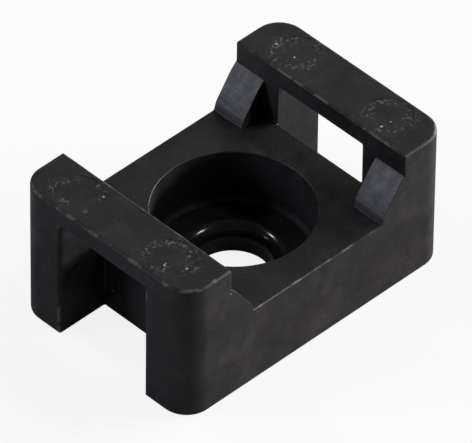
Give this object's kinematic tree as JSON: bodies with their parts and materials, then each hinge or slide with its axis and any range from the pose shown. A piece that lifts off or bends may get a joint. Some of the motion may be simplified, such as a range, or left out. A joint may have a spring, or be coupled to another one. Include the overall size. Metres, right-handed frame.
{
  "type": "cable tie mount",
  "caption": "Block-shaped cable tie mount with a recessed screw hole, a saddle that cables lie across and slotted end towers that the strap of a cable tie passes through.",
  "frame": {"origin": "centre of the base, on the mounting surface", "axes": "+X along the strap, from tower to tower; +Y across the strap; +Z out of the mounting surface"},
  "size_m": [0.0224, 0.0148, 0.0103],
  "materials": {
    "black_nylon": "moulded black nylon, satin, with a fine spark-eroded grain"
  },
  "bodies": {
    "root": {"tie_mount": "black_nylon"}
  },
  "joints": []
}
